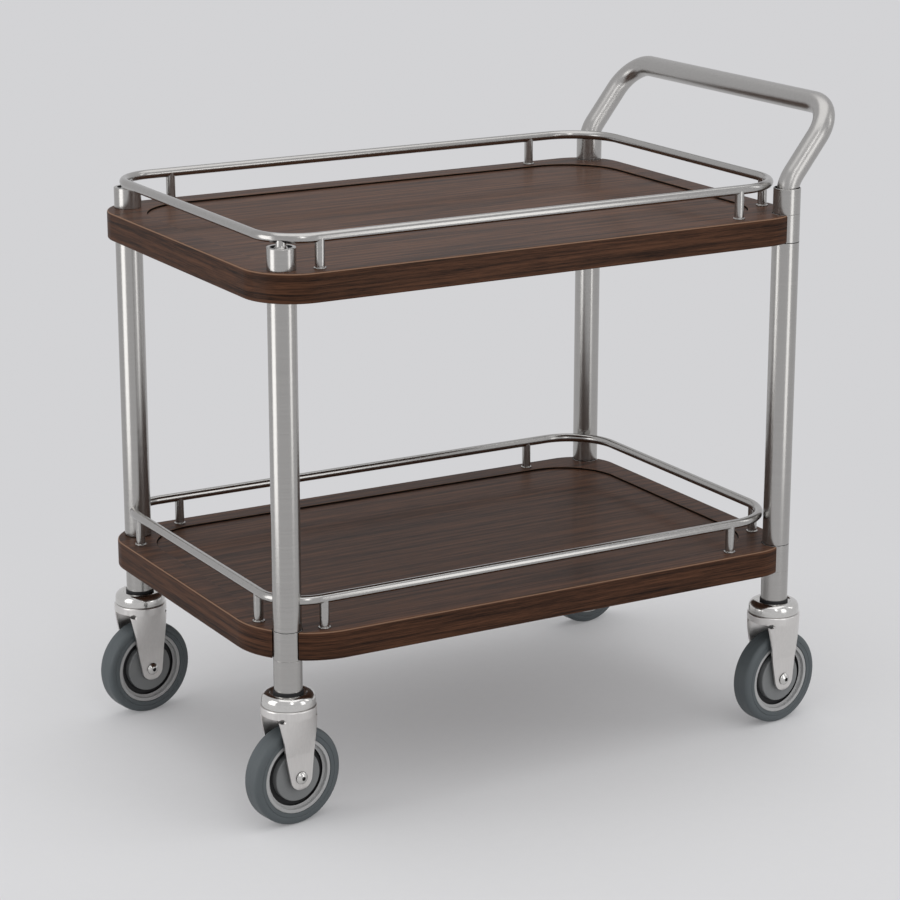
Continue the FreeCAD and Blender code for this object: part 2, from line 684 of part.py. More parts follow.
def axle_set():
    """Bolt with a domed head, spacer sleeve between the arms and a lock nut behind."""
    head_seat = -ARM_OUTSIDE - WELD_GAP
    nut_seat = ARM_OUTSIDE + WELD_GAP
    head = BOLT_HEAD_DIAMETER / 2
    shank = AXLE_DIAMETER / 2
    tip = nut_seat + NUT_HEIGHT + BOLT_TIP
    dome_top = head_seat - BOLT_HEAD_HEIGHT
    steps = [
        (head, 0, head_seat),
        (head, 0, head_seat - BOLT_HEAD_BAND),
        ((head * BOLT_DOME_OUT, 0, dome_top + BOLT_DOME_DROP), (0, 0, dome_top)),
        (0, 0, tip),
        (shank, 0, tip),
    ]
    bolt = turned((shank, 0, head_seat), steps, vector(0, 0, 0), UP)
    bolt = bolt.cut(hexagon(BOLT_SOCKET_SIZE, dome_top - BOLT_SOCKET_DEPTH, dome_top + BOLT_SOCKET_DEPTH))
    inner = shank + RUNNING_FIT
    sleeve_end = ARM_INSIDE - WELD_GAP
    spacer = pipe(SLEEVE_DIAMETER / 2, inner, 0, 0, -sleeve_end, sleeve_end)
    nut = hexagon(NUT_SIZE, nut_seat, nut_seat + NUT_HEIGHT)
    nut = nut.cut(bar(inner, 0, 0, nut_seat, nut_seat + NUT_HEIGHT))
    return on_axle(group([bolt, spacer, nut]))


def on_axle(shape):
    """Lays a shape built about Z onto the wheel's axle, +Z turning to the back."""
    shape.rotate(vector(0, 0, 0), RIGHT, -90)
    shape.translate(vector(CASTER_TRAIL, 0, AXLE_HEIGHT))
    return shape


def mirrored_profile(half):
    """Closed list of steps from a half profile and its mirror image across z = 0."""
    other = []
    for radius, zero, height in reversed(half):
        other.append((radius, zero, -height))
    return half + other


def wheel_core():
    """Moulded wheel centre: rim, stepped recess, web and hub."""
    rim = RIM_DIAMETER / 2
    rim_inside = rim - RIM_THICKNESS
    step = rim_inside - RIM_STEP_WIDTH
    edge = WHEEL_WIDTH / 2 - RIM_EDGE_SETBACK
    web = WEB_THICKNESS / 2
    hub = HUB_DIAMETER / 2
    bore = SLEEVE_DIAMETER / 2 + RUNNING_FIT
    hub_end = ARM_INSIDE - SIDE_GAP
    half = [
        (bore, 0, hub_end),
        (hub, 0, hub_end),
        (hub, 0, web),
        (step, 0, web),
        (step, 0, edge - RIM_STEP_DEPTH),
        (rim_inside, 0, edge - RIM_STEP_DEPTH),
        (rim_inside, 0, edge),
        (rim, 0, edge),
    ]
    profile = mirrored_profile(half)
    return on_axle(turned(profile[0], profile[1:], vector(0, 0, 0), UP))


def tyre():
    """Rubber tyre with flat side walls and round shoulders."""
    inner = RIM_DIAMETER / 2 + BOND_GAP
    outer = WHEEL_DIAMETER / 2
    side = WHEEL_WIDTH / 2
    shoulder = outer - TYRE_SHOULDER
    tread = side - TYRE_SHOULDER
    through = TYRE_SHOULDER * DIAGONAL
    steps = [
        (shoulder, 0, side),
        ((shoulder + through, 0, tread + through), (outer, 0, tread)),
        (outer, 0, -tread),
        ((shoulder + through, 0, -tread - through), (shoulder, 0, -side)),
        (inner, 0, -side),
    ]
    return on_axle(turned((inner, 0, side), steps, vector(0, 0, 0), UP))


def hub_caps():
    """Two dished covers that stand on the web and hide the hub's ends."""
    outer = CAP_DIAMETER / 2
    inner = HUB_DIAMETER / 2 + SIDE_GAP
    web = WEB_THICKNESS / 2
    face = WHEEL_WIDTH / 2 - CAP_SETBACK
    short = 1 - DIAGONAL
    steps = [
        (inner, 0, face),
        (outer - CAP_WALL, 0, face),
        ((outer - CAP_WALL * short, 0, face - CAP_WALL * short), (outer, 0, face - CAP_WALL)),
        (outer, 0, web),
        (outer - CAP_WALL, 0, web),
        (outer - CAP_WALL, 0, face - CAP_WALL),
    ]
    near = turned((inner, 0, face - CAP_WALL), steps, vector(0, 0, 0), UP)
    far = near.mirror(vector(0, 0, 0), UP)
    return on_axle(group([near, far]))


def at_leg(shape, name, yaw):
    """Copy of a caster piece, turned about the swivel axis and set below a leg."""
    placed = shape.copy()
    placed.rotate(vector(0, 0, 0), UP, yaw)
    x, y = LEGS[name]
    placed.translate(vector(x, y, 0))
    return placed


# ---- the whole trolley -----------------------------------------------------------------
def build():
    """Every node of the trolley by name."""
    nodes = {}
    upper_places = post_places(False)
    lower_places = post_places(True)
    upper_radii = [WRAPPED_CORNER_RADIUS] * 2 + [HANDLE_CORNER_RADIUS] * 2
    lower_radii = [LOWER_FREE_CORNER_RADIUS, WRAPPED_CORNER_RADIUS] + [HANDLE_CORNER_RADIUS] * 2
    nodes["upper_tray_board"] = tray_board(UPPER_TRAY_TOP, UPPER_NOTCHES, upper_radii, upper_places)
    nodes["lower_tray_board"] = tray_board(LOWER_TRAY_TOP, LOWER_NOTCHES, lower_radii, lower_places)
    nodes["upper_tray_panel"] = tray_panel(UPPER_TRAY_TOP)
    nodes["lower_tray_panel"] = tray_panel(LOWER_TRAY_TOP)
    for name in LEGS:
        nodes["leg_" + name] = leg_tube(name)
        nodes["foot_tube_" + name] = foot_tube(name)
    nodes["upper_corner_sleeves"] = group([sleeve(name, UPPER_TRAY_TOP) for name in UPPER_NOTCHES])
    nodes["lower_corner_sleeves"] = group([sleeve(name, LOWER_TRAY_TOP) for name in LOWER_NOTCHES])
    nodes["corner_dowels"] = group([dowel(name, UPPER_TRAY_TOP, 0) for name in UPPER_NOTCHES]
                                   + [dowel(name, LOWER_TRAY_TOP, 0) for name in LOWER_NOTCHES])
    nodes["leg_end_plugs"] = end_plugs()
    nodes["foot_sockets"] = foot_sockets()
    nodes["tie_rods"] = tie_rods()
    nodes["free_end_collars"] = free_end_collars()
    nodes["rail_necks"] = rail_necks()
    nodes["handle_collars"] = handle_collars()
    nodes["handle_plugs"] = handle_plugs()
    nodes["handle"] = handle()
    nodes["upper_rail"] = rail_loop(UPPER_TRAY_TOP, RAIL_RADIUS)
    nodes["lower_rail_long"], nodes["lower_rail_short"] = lower_rails()
    nodes["upper_rail_posts"] = posts(UPPER_TRAY_TOP, upper_places)
    nodes["lower_rail_posts"] = posts(LOWER_TRAY_TOP, lower_places)
    nodes["upper_post_screws"] = post_screws(UPPER_TRAY_TOP, upper_places)
    nodes["lower_post_screws"] = post_screws(LOWER_TRAY_TOP, lower_places)
    nodes["caster_seals"] = group([at_leg(seal_ring(), name, 0) for name in LEGS])
    nodes["swivel_races"] = group([at_leg(swivel_race(), name, 0) for name in LEGS])
    pieces = {
        "caster_head_": caster_head(),
        "fork_": fork(),
        "axle_set_": axle_set(),
        "wheel_core_": wheel_core(),
        "tyre_": tyre(),
        "hub_caps_": hub_caps(),
    }
    for prefix, shape in pieces.items():
        for name in LEGS:
            nodes[prefix + name] = at_leg(shape, name, CASTER_YAW)
    return nodes


def middle_of_length(nodes):
    """Middle of the overall length: from the free end wheels to the handle's grip."""
    wheels = min(nodes["tyre_" + name].optimalBoundingBox(False).XMin for name in FREE_END_LEGS)
    grip = HANDLE_END_X + HANDLE_REACH + HANDLE_RADIUS
    return (wheels + grip) / 2


trolley = build()
shift = vector(-middle_of_length(trolley), 0, 0)
os.makedirs("parts", exist_ok=True)
for node, shape in trolley.items():
    if not shape.isValid():
        raise ValueError("not a valid solid: " + node)
    shape.translate(shift)
    shape.exportStep("parts/" + node + ".step")
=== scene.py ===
import math
import bmesh
import bpy
from mathutils import Matrix, Vector


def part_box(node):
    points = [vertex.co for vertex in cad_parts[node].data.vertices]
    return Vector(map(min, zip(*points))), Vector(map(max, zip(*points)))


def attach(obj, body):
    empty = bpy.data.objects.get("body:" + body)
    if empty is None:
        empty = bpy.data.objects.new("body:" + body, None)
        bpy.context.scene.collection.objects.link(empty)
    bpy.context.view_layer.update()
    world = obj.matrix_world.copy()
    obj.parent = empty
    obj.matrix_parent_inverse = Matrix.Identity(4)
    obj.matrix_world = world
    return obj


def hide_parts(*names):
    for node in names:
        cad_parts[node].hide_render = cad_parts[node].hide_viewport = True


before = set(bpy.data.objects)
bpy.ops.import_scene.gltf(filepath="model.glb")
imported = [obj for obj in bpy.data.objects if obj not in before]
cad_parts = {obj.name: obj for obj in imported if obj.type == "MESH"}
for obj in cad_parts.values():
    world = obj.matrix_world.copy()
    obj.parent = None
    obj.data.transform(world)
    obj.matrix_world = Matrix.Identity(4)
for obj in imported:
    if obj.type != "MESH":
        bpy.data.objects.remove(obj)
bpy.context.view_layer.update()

# Shapes are drawn in millimetres and scaled to metres when they are finished.
MM = 0.001
TROLLEY = "trolley"
STAINLESS = "brushed_stainless"
CORNERS = ("front_left", "back_left", "back_right", "front_right")
FREE_END = ("front_left", "back_left")
HANDLE_END = ("back_right", "front_right")
TIERS = ("upper", "lower")
LEG_RADIUS = 17.5
LEG_WALL = 1.5
RAIL_RADIUS = 6.0
RAIL_INSET = 20.0
RAIL_HEIGHT = 37.0
GRIP_RADIUS = 14.0
WHEEL_RADIUS = 62.5
TRAIL = 4.0
YAW = math.radians(8)
QUARTER = math.pi / 2
ALONG, BACKWARD, UP = Vector((1, 0, 0)), Vector((0, 1, 0)), Vector((0, 0, 1))

# Levels closer than NEAR are one level, and points closer than MERGE are one point. Faces that
# meet at more than CREASE form an edge to round; those at more than SHARP are shaded apart.
NEAR = 0.01
MERGE = 0.001
CREASE = 1.2
SHARP = math.radians(38)

# Steps of a rounded corner in a turned profile and in a tray's outline, degrees in one step of
# a bend, and the fewest steps that a bend has.
PROFILE_STEPS = 5
OUTLINE_STEPS = 24
BEND_STEP = 3.75
BEND_STEPS_LEAST = 6


# ---- places, read from the frame ---------------------------------------------------------
def lowest(node):
    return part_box(node)[0] / MM


def highest(node):
    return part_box(node)[1] / MM


def leg_axis(corner):
    middle = (lowest("leg_" + corner) + highest("leg_" + corner)) / 2
    return Vector((middle.x, middle.y, 0))


LEG = {corner: leg_axis(corner) for corner in CORNERS}
TOP = {"upper": highest("upper_tray_board").z, "lower": highest("lower_tray_board").z}
BOTTOM = {"upper": lowest("upper_tray_board").z, "lower": lowest("lower_tray_board").z}
FLOOR_OF_FEET = lowest("foot_tube_front_left").z


# ---- ways of making a shape ----------------------------------------------------------------
def points_of(geometry):
    return [part for part in geometry if isinstance(part, bmesh.types.BMVert)]


def lines_of(geometry):
    return [part for part in geometry if isinstance(part, bmesh.types.BMEdge)]


def move(bm, geometry, step):
    bmesh.ops.translate(bm, vec=step, verts=points_of(geometry))


def round_corner(bm, point, radius, steps):
    """Rounds one corner of a flat outline."""
    bmesh.ops.bevel(bm, geom=[point], offset=radius, offset_type="OFFSET", segments=steps,
                    profile=0.5, affect="VERTICES", material=-1)


def mirrored(profile):
    """The same profile on the other side of height 0, so that both make one outline."""
    return [(radius, -height, rounding) for radius, height, rounding in reversed(profile)]


def lathe(profile, steps=96, closed=False):
    """Turns a profile of (radius, height, rounding) points about the vertical."""
    bm = bmesh.new()
    points = [bm.verts.new((radius, 0, height)) for radius, height, rounding in profile]
    for first, second in zip(points, points[1:]):
        bm.edges.new((first, second))
    if closed:
        bm.edges.new((points[-1], points[0]))
    for point, (radius, height, rounding) in zip(points, profile):
        if rounding:
            round_corner(bm, point, rounding, PROFILE_STEPS)
    bmesh.ops.spin(bm, geom=bm.verts[:] + bm.edges[:], cent=(0, 0, 0), axis=UP, angle=math.tau,
                   steps=steps, use_merge=True)
    bmesh.ops.remove_doubles(bm, verts=bm.verts[:], dist=MERGE)
    bmesh.ops.recalc_face_normals(bm, faces=bm.faces[:])
    return bm


def tube(outer, inner, bottom, top, rounding=0.4):
    """Upright tube with eased rims."""
    return lathe([(inner, bottom, 0), (outer, bottom, rounding), (outer, top, rounding),
                  (inner, top, 0)], closed=True)


def prism(radius, centre, depth, sides=96):
    """Upright prism of a given depth, round when it has many sides."""
    bm = bmesh.new()
    bmesh.ops.create_cone(bm, cap_ends=True, segments=sides, radius1=radius, radius2=radius,
                          depth=depth, matrix=Matrix.Translation(centre))
    return bm


def bent_bar(start, heading, radius, moves, sides=32, loop=False):
    """Round bar, run straight or bent move by move from a start and a heading.

    A move is ("run", length) or ("bend", angle, radius, axis).
    """
    bm = bmesh.new()
    turn = UP.rotation_difference(heading).to_matrix().to_4x4()
    bmesh.ops.create_circle(bm, cap_ends=not loop, segments=sides, radius=radius,
                            matrix=Matrix.Translation(start) @ turn)
    ring, here, heading = bm.edges[:], Vector(start), Vector(heading)
    for kind, amount, *rest in moves:
        if kind == "run":
            made = bmesh.ops.extrude_edge_only(bm, edges=ring)["geom"]
            move(bm, made, heading * amount)
            here = here + heading * amount
        else:
            bend_radius, axis = rest
            centre = here + axis.cross(heading) * bend_radius
            corners = list({point for edge in ring for point in edge.verts})
            steps = max(BEND_STEPS_LEAST, round(math.degrees(amount) / BEND_STEP))
            made = bmesh.ops.spin(bm, geom=corners + ring, cent=centre, axis=axis, angle=amount,
                                  steps=steps)["geom_last"]
            swing = Matrix.Rotation(amount, 3, axis)
            here = centre + swing @ (here - centre)
            heading = swing @ heading
        ring = [edge for edge in lines_of(made) if len(edge.link_faces) == 1]
    if loop:
        bmesh.ops.remove_doubles(bm, verts=bm.verts[:], dist=NEAR)
    else:
        bmesh.ops.contextual_create(bm, geom=ring)
    bmesh.ops.recalc_face_normals(bm, faces=bm.faces[:])
    return bm


def rounded_face(bm, low, high, radii, height):
    """Flat rectangle whose corners have the radii given in the order of CORNERS."""
    spots = ((low.x, low.y), (low.x, high.y), (high.x, high.y), (high.x, low.y))
    others = set(bm.faces)
    points = [bm.verts.new((x, y, height)) for x, y in spots]
    bm.faces.new(points)
    for point, radius in zip(points, radii):
        round_corner(bm, point, radius, OUTLINE_STEPS)
    return next(face for face in bm.faces if face not in others)


def raised(bm, face, step):
    """Draws a face out of a shape, or into it when the step is negative."""
    made = bmesh.ops.extrude_face_region(bm, geom=[face])["geom"]
    move(bm, made, UP * step)


def creases(bm, level):
    """Edges at one level where two faces meet sharply."""
    return [edge for edge in bm.edges if len(edge.link_faces) == 2
            and edge.calc_face_angle() > CREASE
            and all(abs(point.co.z - level) < NEAR for point in edge.verts)]


def ease(bm, edges, width, steps=3):
    """Rounds edges by a width."""
    bmesh.ops.bevel(bm, geom=edges, offset=width, offset_type="OFFSET", segments=steps,
                    profile=0.5, affect="EDGES", material=-1)


def placed(bm, matrix):
    """Moves and turns a whole shape."""
    bmesh.ops.transform(bm, matrix=matrix, verts=bm.verts[:])
    return bm


def repeated(bm, places):
    """Copies a shape drawn at the origin to every place."""
    first = bm.verts[:] + bm.edges[:] + bm.faces[:]
    for place in places[1:]:
        copy = bmesh.ops.duplicate(bm, geom=first)["geom"]
        move(bm, copy, place)
    move(bm, first, places[0])
    return bm


def joined(shapes):
    """Puts separate shapes into one piece."""
    whole = bmesh.new()
    for shape in shapes:
        mesh = bpy.data.meshes.new("part")
        shape.to_mesh(mesh)
        shape.free()
        whole.from_mesh(mesh)
        bpy.data.meshes.remove(mesh)
    return whole


def cut(bm, tool):
    """Cuts a closed tool out of a closed shape. Both are used up."""
    objects = []
    for name, shape in (("block", bm), ("tool", tool)):
        mesh = bpy.data.meshes.new(name)
        shape.to_mesh(mesh)
        shape.free()
        objects.append(bpy.data.objects.new(name, mesh))
        bpy.context.scene.collection.objects.link(objects[-1])
    block, knife = objects
    step = block.modifiers.new("cut", "BOOLEAN")
    step.operation, step.solver, step.object = "DIFFERENCE", "EXACT", knife
    depsgraph = bpy.context.evaluated_depsgraph_get()
    left = bpy.data.meshes.new_from_object(block.evaluated_get(depsgraph))
    result = bmesh.new()
    result.from_mesh(left)
    bpy.data.meshes.remove(left)
    for used in objects:
        mesh = used.data
        bpy.data.objects.remove(used)
        bpy.data.meshes.remove(mesh)
    return result


def in_second_finish(bm, test):
    """Gives the faces whose middle passes a test the second of a piece's two finishes."""
    for face in bm.faces:
        if test(face.calc_center_median()):
            face.material_index = 1
    return bm


def piece(name, bm, finishes, body, slot, *nodes):
    """Makes a shape a piece that rides on a body in place of the frame's nodes.

    Finishes is one material, or a tuple of two.
    """
    bmesh.ops.scale(bm, vec=(MM, MM, MM), verts=bm.verts[:])
    for face in bm.faces:
        face.smooth = True
    mesh = bpy.data.meshes.new(name)
    bm.to_mesh(mesh)
    bm.free()
    mesh.set_sharp_from_angle(angle=SHARP)
    for finish in finishes if isinstance(finishes, tuple) else (finishes,):
        mesh.materials.append(finish)
    made = bpy.data.objects.new(name, mesh)
    bpy.context.scene.collection.objects.link(made)
    shading = made.modifiers.new("even_shading", "WEIGHTED_NORMAL")
    shading.keep_sharp = True
    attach(made, body)
    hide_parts(*nodes)


# ---- finishes --------------------------------------------------------------------------------
class Value:
    """A shader socket that takes part in sums."""

    def __init__(self, finish, socket):
        self.finish = finish
        self.socket = socket

    def sum(self, operation, first, second):
        return self.finish.add("ShaderNodeMath", {"operation": operation}, {0: first, 1: second})

    def __add__(self, other):
        return self.sum("ADD", self, other)

    def __radd__(self, other):
        return self.sum("ADD", other, self)

    def __sub__(self, other):
        return self.sum("SUBTRACT", self, other)

    def __rsub__(self, other):
        return self.sum("SUBTRACT", other, self)

    def __mul__(self, other):
        return self.sum("MULTIPLY", self, other)

    def __rmul__(self, other):
        return self.sum("MULTIPLY", other, self)


class Finish:
    """One material, made node by node."""

    def __init__(self, name, world=None):
        self.material = world or bpy.data.materials.new(name)
        self.material.use_nodes = True
        self.tree = self.material.node_tree
        self.tree.nodes.clear()

    def add(self, kind, settings=None, sockets=None, output=0):
        """Adds a node: its settings first, then values or links for its sockets."""
        node = self.tree.nodes.new(kind)
        for name, value in (settings or {}).items():
            if name == "stops":
                ramp = node.color_ramp.elements
                while len(ramp) < len(value):
                    ramp.new(0.5)
                for stop, (place, colour) in zip(ramp, value):
                    stop.position, stop.color = place, colour + (1,)
            else:
                setattr(node, name, value)
        for name, value in (sockets or {}).items():
            if isinstance(value, Value):
                self.tree.links.new(value.socket, node.inputs[name])
            elif isinstance(value, tuple) and len(value) == 3 and node.inputs[name].type == "RGBA":
                node.inputs[name].default_value = value + (1,)
            else:
                node.inputs[name].default_value = value
        return Value(self, node.outputs[output]) if node.outputs else None

    def place(self, scale=(1, 1, 1)):
        """The point on the object, in metres, with the pattern's own scale."""
        point = self.add("ShaderNodeTexCoord", output="Object")
        return self.add("ShaderNodeMapping", {}, {"Vector": point, "Scale": scale})

    def noise(self, vector, scale, detail, roughness=0.5):
        return self.add("ShaderNodeTexNoise", {}, {"Vector": vector, "Scale": scale,
                                                   "Detail": detail, "Roughness": roughness})

    def ramp(self, factor, *stops):
        return self.add("ShaderNodeValToRGB", {"stops": stops}, {"Fac": factor})

    def mix(self, factor, first, second):
        """Mixes two colours."""
        return self.add("ShaderNodeMix", {"data_type": "RGBA"}, {0: factor, 6: first, 7: second},
                        output=2)

    def blend(self, factor, first, second):
        """Mixes two shaders."""
        return self.add("ShaderNodeMixShader", {}, {0: factor, 1: first, 2: second})

    def absolute(self, value):
        return self.add("ShaderNodeMath", {"operation": "ABSOLUTE"}, {0: value})

    def fit(self, value, low, high):
        """Smooth step: 0 up to the low value, 1 from the high one."""
        return self.add("ShaderNodeMapRange", {"interpolation_type": "SMOOTHSTEP"},
                        {0: value, 1: low, 2: high, 3: 0.0, 4: 1.0})

    def bump(self, height, distance, strength):
        """Normal of a relief whose depth is given in metres."""
        return self.add("ShaderNodeBump", {},
                        {"Height": height, "Distance": distance, "Strength": strength})

    def facing_up(self):
        """1 where the surface faces up, 0 on an upright side and -1 underneath."""
        facing = self.add("ShaderNodeNewGeometry", output="Normal")
        return self.add("ShaderNodeSeparateXYZ", {}, {0: facing}, output=2)

    def sees_background(self):
        """1 or more for a ray from the camera, off a glossy surface or through glass."""
        camera, glossy, through = (self.add("ShaderNodeLightPath", output=name) for name in
                                   ("Is Camera Ray", "Is Glossy Ray", "Is Transmission Ray"))
        return camera + glossy + through

    def surface(self, **sockets):
        """Ends the material with its surface."""
        named = {name.replace("_", " "): value for name, value in sockets.items()}
        shader = self.add("ShaderNodeBsdfPrincipled", {}, named)
        self.add("ShaderNodeOutputMaterial", {}, {"Surface": shader})
        return self.material


def tinted(colour, factor):
    return tuple(factor * part for part in colour)


def brushed_steel(name, across, tint=(0.44, 0.43, 0.415), roughness=0.2):
    """Satin steel. Its brush marks are fine along the axes where across is large."""
    steel = Finish(name)
    fine = steel.noise(steel.place(scale=across), 1.0, detail=4.0, roughness=0.65)
    broad = steel.noise(steel.place(), 14.0, detail=2.0)
    return steel.surface(Base_Color=steel.mix(fine, tinted(tint, 0.90), tinted(tint, 1.08)),
                         Metallic=1.0, Roughness=roughness - 0.03 + fine * 0.07 + broad * 0.04,
                         Normal=steel.bump(fine, 0.00002, 0.4))


def walnut(name, dark, light, highlight_colour):
    """Lacquered wood: grain along the length on flat faces and round the sides.

    The sides are darkened by painted shade, and the rounded upper edge carries a painted highlight
    in the highlight colour.
    """
    wood = Finish(name)
    tilt = wood.facing_up()
    level = wood.fit(wood.absolute(tilt), 0.55, 0.75)
    on_top = wood.place(scale=(2.4, 85.0, 85.0))
    on_side = wood.place(scale=(2.4, 2.4, 120.0))
    lie = wood.add("ShaderNodeMix", {"data_type": "VECTOR"}, {0: level, 4: on_side, 5: on_top},
                   output=1)
    broad = wood.noise(lie, 1.6, detail=3.0, roughness=0.6)
    fine = wood.noise(lie, 9.0, detail=4.0, roughness=0.7)
    pores = wood.noise(lie, 26.0, detail=2.0, roughness=0.6)
    grain = broad * 0.38 + fine * 0.38 + pores * 0.24
    medium = tuple((first + second) / 2 for first, second in zip(dark, light))
    figure = wood.ramp(grain, (0.40, dark), (0.50, medium), (0.59, light))
    # Painted shade: upright sides are mixed up to 27 % towards black.
    figure = wood.mix(0.27 - level * 0.27, figure, (0.0, 0.0, 0.0))
    # Painted highlight: the rounded edges that face up are mixed up to 65 % into the highlight
    # colour.
    painted_highlight = wood.fit(tilt, 0.35, 0.55) * (1 - wood.fit(tilt, 0.80, 0.97))
    ripple = wood.noise(wood.place(), 22.0, detail=1.0)
    return wood.surface(Base_Color=wood.mix(painted_highlight * 0.65, figure, highlight_colour),
                        Roughness=0.42 + pores * 0.12, Coat_Weight=0.02 + level * 0.05,
                        Coat_Roughness=0.11, Specular_IOR_Level=0.09,
                        Normal=wood.bump(fine * 0.6 + ripple * 0.8, 0.00006, 0.4))


def moulded(name, tint, roughness, grain=900.0, sheen=0.4):
    """Moulded rubber or plastic: a fine matt grain and slightly uneven colour."""
    stuff = Finish(name)
    fine = stuff.noise(stuff.place(), grain, detail=3.0, roughness=0.6)
    broad = stuff.noise(stuff.place(), 35.0, detail=3.0)
    colour = stuff.mix(fine * 0.5 + broad * 0.5, tinted(tint, 0.88), tinted(tint, 1.12))
    return stuff.surface(Base_Color=colour, Roughness=roughness - 0.05 + broad * 0.1,
                         Specular_IOR_Level=sheen, Normal=stuff.bump(fine, 0.00003, 0.35))


def even(scale):
    """Brush marks of one scale along every axis."""
    return (scale, scale, scale)


upright_steel = brushed_steel("brushed_tube", (2.0, 2.0, 900.0))
bent_steel = brushed_steel("polished_rail", even(240.0), roughness=0.17)
pressed_steel = brushed_steel("pressed_sheet", (500.0, 500.0, 60.0), tint=(0.72, 0.70, 0.68),
                              roughness=0.30)
grip_steel = brushed_steel("satin_grip", even(240.0), tint=(0.46, 0.45, 0.435), roughness=0.27)
bright_steel = brushed_steel("polished_cap", even(300.0), tint=(0.66, 0.65, 0.63), roughness=0.14)
plain_steel = brushed_steel("zinc_plated", even(400.0), tint=(0.50, 0.50, 0.49), roughness=0.35)
border_wood = walnut("walnut_border", dark=(0.012, 0.0052, 0.0029), light=(0.114, 0.048, 0.024),
                     highlight_colour=(0.28, 0.17, 0.11))
panel_wood = walnut("walnut_panel", dark=(0.013, 0.0058, 0.0033), light=(0.116, 0.050, 0.025),
                    highlight_colour=(0.24, 0.14, 0.09))
# Near-black copy of the walnut: painted shade on the pockets' walls and the panels' sides.
painted_shade_wood = walnut("walnut_painted_shade", dark=(0.004, 0.0025, 0.0018), light=(0.010, 0.006, 0.004),
                     highlight_colour=(0.02, 0.01, 0.008))
beech = walnut("beech_dowel", dark=(0.42, 0.28, 0.16), light=(0.60, 0.43, 0.26),
               highlight_colour=(0.58, 0.42, 0.25))
tyre_rubber = moulded("tyre_rubber", (0.072, 0.084, 0.090), 0.52, grain=1500.0, sheen=0.45)
rim_plastic = moulded("rim_plastic", (0.36, 0.36, 0.36), 0.42)
hub_plastic = moulded("hub_plastic", (0.165, 0.170, 0.172), 0.42)
black_nylon = moulded("black_nylon", (0.022, 0.022, 0.023), 0.5)
seal_rubber = moulded("seal_rubber", (0.012, 0.012, 0.013), 0.6)
# Near-black, used as painted shade at the leg ends and in recesses and sockets.
painted_shade_black = moulded("recess_shade", (0.012, 0.012, 0.013), 0.6)


# ---- trays -----------------------------------------------------------------------------------
# Corner radii of each tray in the order of CORNERS, and the corners notched round a leg.
TRAY_CORNERS = {"upper": (65, 65, 62, 62), "lower": (100, 65, 62, 62)}
NOTCHED = {"upper": HANDLE_END, "lower": ("front_left", "back_right", "front_right")}
NOTCH_RADIUS = 18.5
NOTCH_TOOL_DEPTH = 60
BORDER_WIDTH = 35
POCKET_RADIUS = 80
POCKET_DEPTH = 12.5
PANEL_RADIUS = 79.7
OUTER_EDGE = 2.5
INNER_EDGE = 0.8

# The painted shade of the recess, a near-black copy of the walnut, starts this far below the
# border's top and the panel's top. In the border it goes this far past the pocket's walls and
# above the board's underside.
POCKET_SHADE = 0.4
PANEL_SHADE = 0.02
POCKET_REACH = 1
POCKET_FLOOR = 10


def tray_border(tier):
    """Raised border and body of one tray, with the pocket for its panel."""
    node = tier + "_tray_board"
    low, high = lowest(node), highest(node)
    inset = Vector((BORDER_WIDTH, BORDER_WIDTH, 0))
    bm = bmesh.new()
    raised(bm, rounded_face(bm, low, high, TRAY_CORNERS[tier], low.z), high.z - low.z)
    lid = [face for face in bm.faces if abs(face.calc_center_median().z - high.z) < NEAR]
    rim = list(lid[0].edges)
    bmesh.ops.delete(bm, geom=lid, context="FACES_ONLY")
    mouth = rounded_face(bm, low + inset, high - inset, (POCKET_RADIUS,) * 4, high.z)
    bmesh.ops.bridge_loops(bm, edges=rim + list(mouth.edges))
    raised(bm, mouth, -POCKET_DEPTH)
    if mouth.is_valid:
        bmesh.ops.delete(bm, geom=[mouth], context="FACES_ONLY")
    bmesh.ops.recalc_face_normals(bm, faces=bm.faces[:])
    ease(bm, creases(bm, low.z) + [edge for edge in creases(bm, high.z) if edge in rim],
         OUTER_EDGE, 6)
    ease(bm, creases(bm, high.z), INNER_EDGE)
    for corner in NOTCHED[tier]:
        bm = cut(bm, prism(NOTCH_RADIUS, LEG[corner] + UP * (high.z + low.z) / 2,
                           NOTCH_TOOL_DEPTH))
    middle = (low + high) / 2
    reach = high - inset + Vector((POCKET_REACH, POCKET_REACH, 0)) - middle

    # The pocket's walls take the painted shade.
    def in_pocket_shade(spot):
        return (low.z + POCKET_FLOOR < spot.z < high.z - POCKET_SHADE
                and abs(spot.x - middle.x) < reach.x and abs(spot.y - middle.y) < reach.y)

    return in_second_finish(bm, in_pocket_shade)


def tray_field(tier):
    """Panel that lies in the pocket, a little below the border."""
    node = tier + "_tray_panel"
    low, high = lowest(node), highest(node)
    bm = bmesh.new()
    raised(bm, rounded_face(bm, low, high, (PANEL_RADIUS,) * 4, low.z), high.z - low.z)
    bmesh.ops.recalc_face_normals(bm, faces=bm.faces[:])
    ease(bm, creases(bm, high.z), INNER_EDGE)
    # Painted shade on the panel's sides and underside.
    return in_second_finish(bm, lambda spot: spot.z < high.z - PANEL_SHADE)


for tier in TIERS:
    piece(tier + "_tray_border", tray_border(tier), (border_wood, painted_shade_wood), TROLLEY,
          "walnut_border", tier + "_tray_board")
    piece(tier + "_tray_field", tray_field(tier), (panel_wood, painted_shade_wood), TROLLEY,
          "walnut_panel", tier + "_tray_panel")

# ---- legs ------------------------------------------------------------------------------------
# The ends of a leg tube are rounded, and carry painted shade for a short way where they meet the
# trays.
LEG_END_ROUNDING = 1.2
LEG_END_SHADE = 0.7
ROD_HOLE_RADIUS = 5.2
leg_inside = LEG_RADIUS - LEG_WALL
leg_low, leg_high = TOP["lower"], BOTTOM["upper"]


